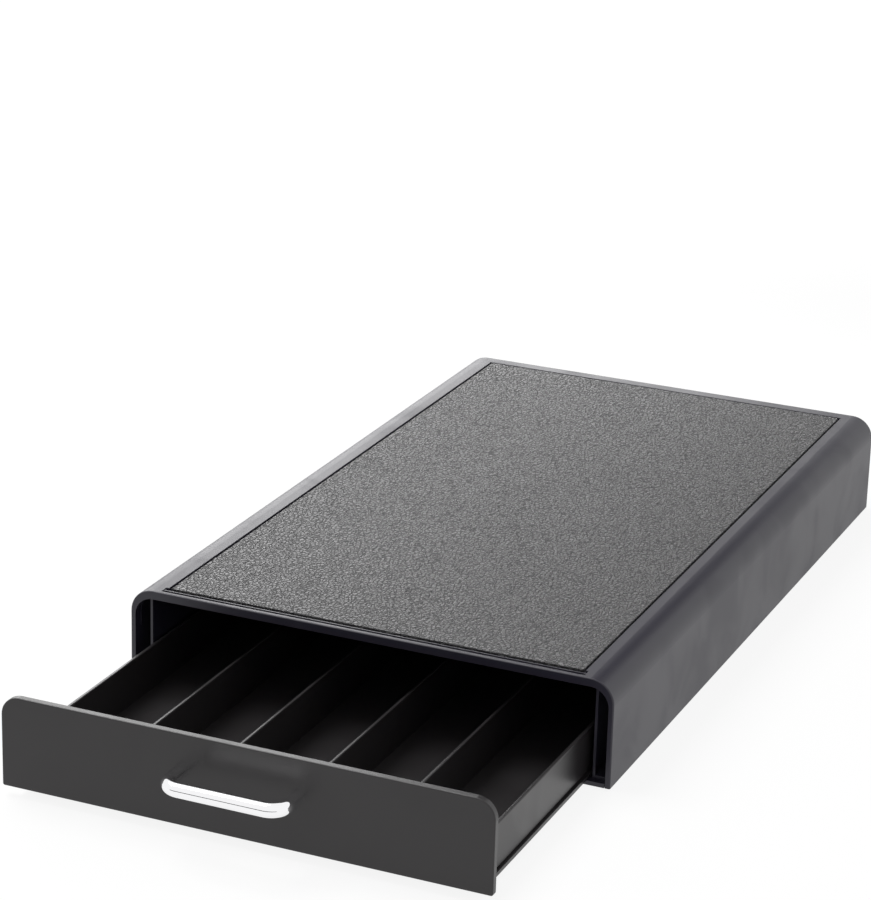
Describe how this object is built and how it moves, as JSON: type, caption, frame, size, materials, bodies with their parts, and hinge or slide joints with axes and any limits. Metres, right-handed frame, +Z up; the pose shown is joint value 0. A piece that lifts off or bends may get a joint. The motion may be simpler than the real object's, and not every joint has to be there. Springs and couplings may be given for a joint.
{
  "type": "coffee pod drawer",
  "caption": "Low plastic case with a grained deck that a machine can stand on, and a wide drawer with lanes for coffee pods, pulled by a bent chrome handle.",
  "frame": {"origin": "on the table, at the centre of the footprint with the drawer open as at rest", "axes": "+X to the right seen from the front, +Y from the handle towards the back, +Z up"},
  "size_m": [0.24, 0.544, 0.052],
  "materials": {
    "case_plastic": "satin charcoal, fine moulded grain",
    "drawer_plastic": "satin charcoal, smooth",
    "grained_panel": "raised leather-like grain, semi-matt",
    "chrome_rod": "polished chrome plate",
    "screw_steel": "zinc plated",
    "foot_rubber": "matt"
  },
  "bodies": {
    "case": {"base_plate": "case_plastic", "base_screws": "screw_steel", "case_back_panel": "case_plastic", "case_cover": "case_plastic", "deck_panel": "grained_panel", "foot_back_left": "foot_rubber", "foot_back_right": "foot_rubber", "foot_front_left": "foot_rubber", "foot_front_right": "foot_rubber", "guide_left": "case_plastic", "guide_right": "case_plastic"},
    "drawer": {"divider_1": "drawer_plastic", "divider_2": "drawer_plastic", "divider_3": "drawer_plastic", "divider_4": "drawer_plastic", "drawer_front": "drawer_plastic", "front_screws": "screw_steel", "handle": "chrome_rod", "handle_screws": "screw_steel", "tray_back_wall": "drawer_plastic", "tray_floor": "drawer_plastic", "tray_front_wall": "drawer_plastic", "tray_side_left": "drawer_plastic", "tray_side_right": "drawer_plastic"}
  },
  "joints": [
    {"name": "drawer_slide", "type": "slide", "parent": "case", "child": "drawer", "axis": [0, -1, 0], "range_m": [-0.123, 0.1659]}
  ]
}
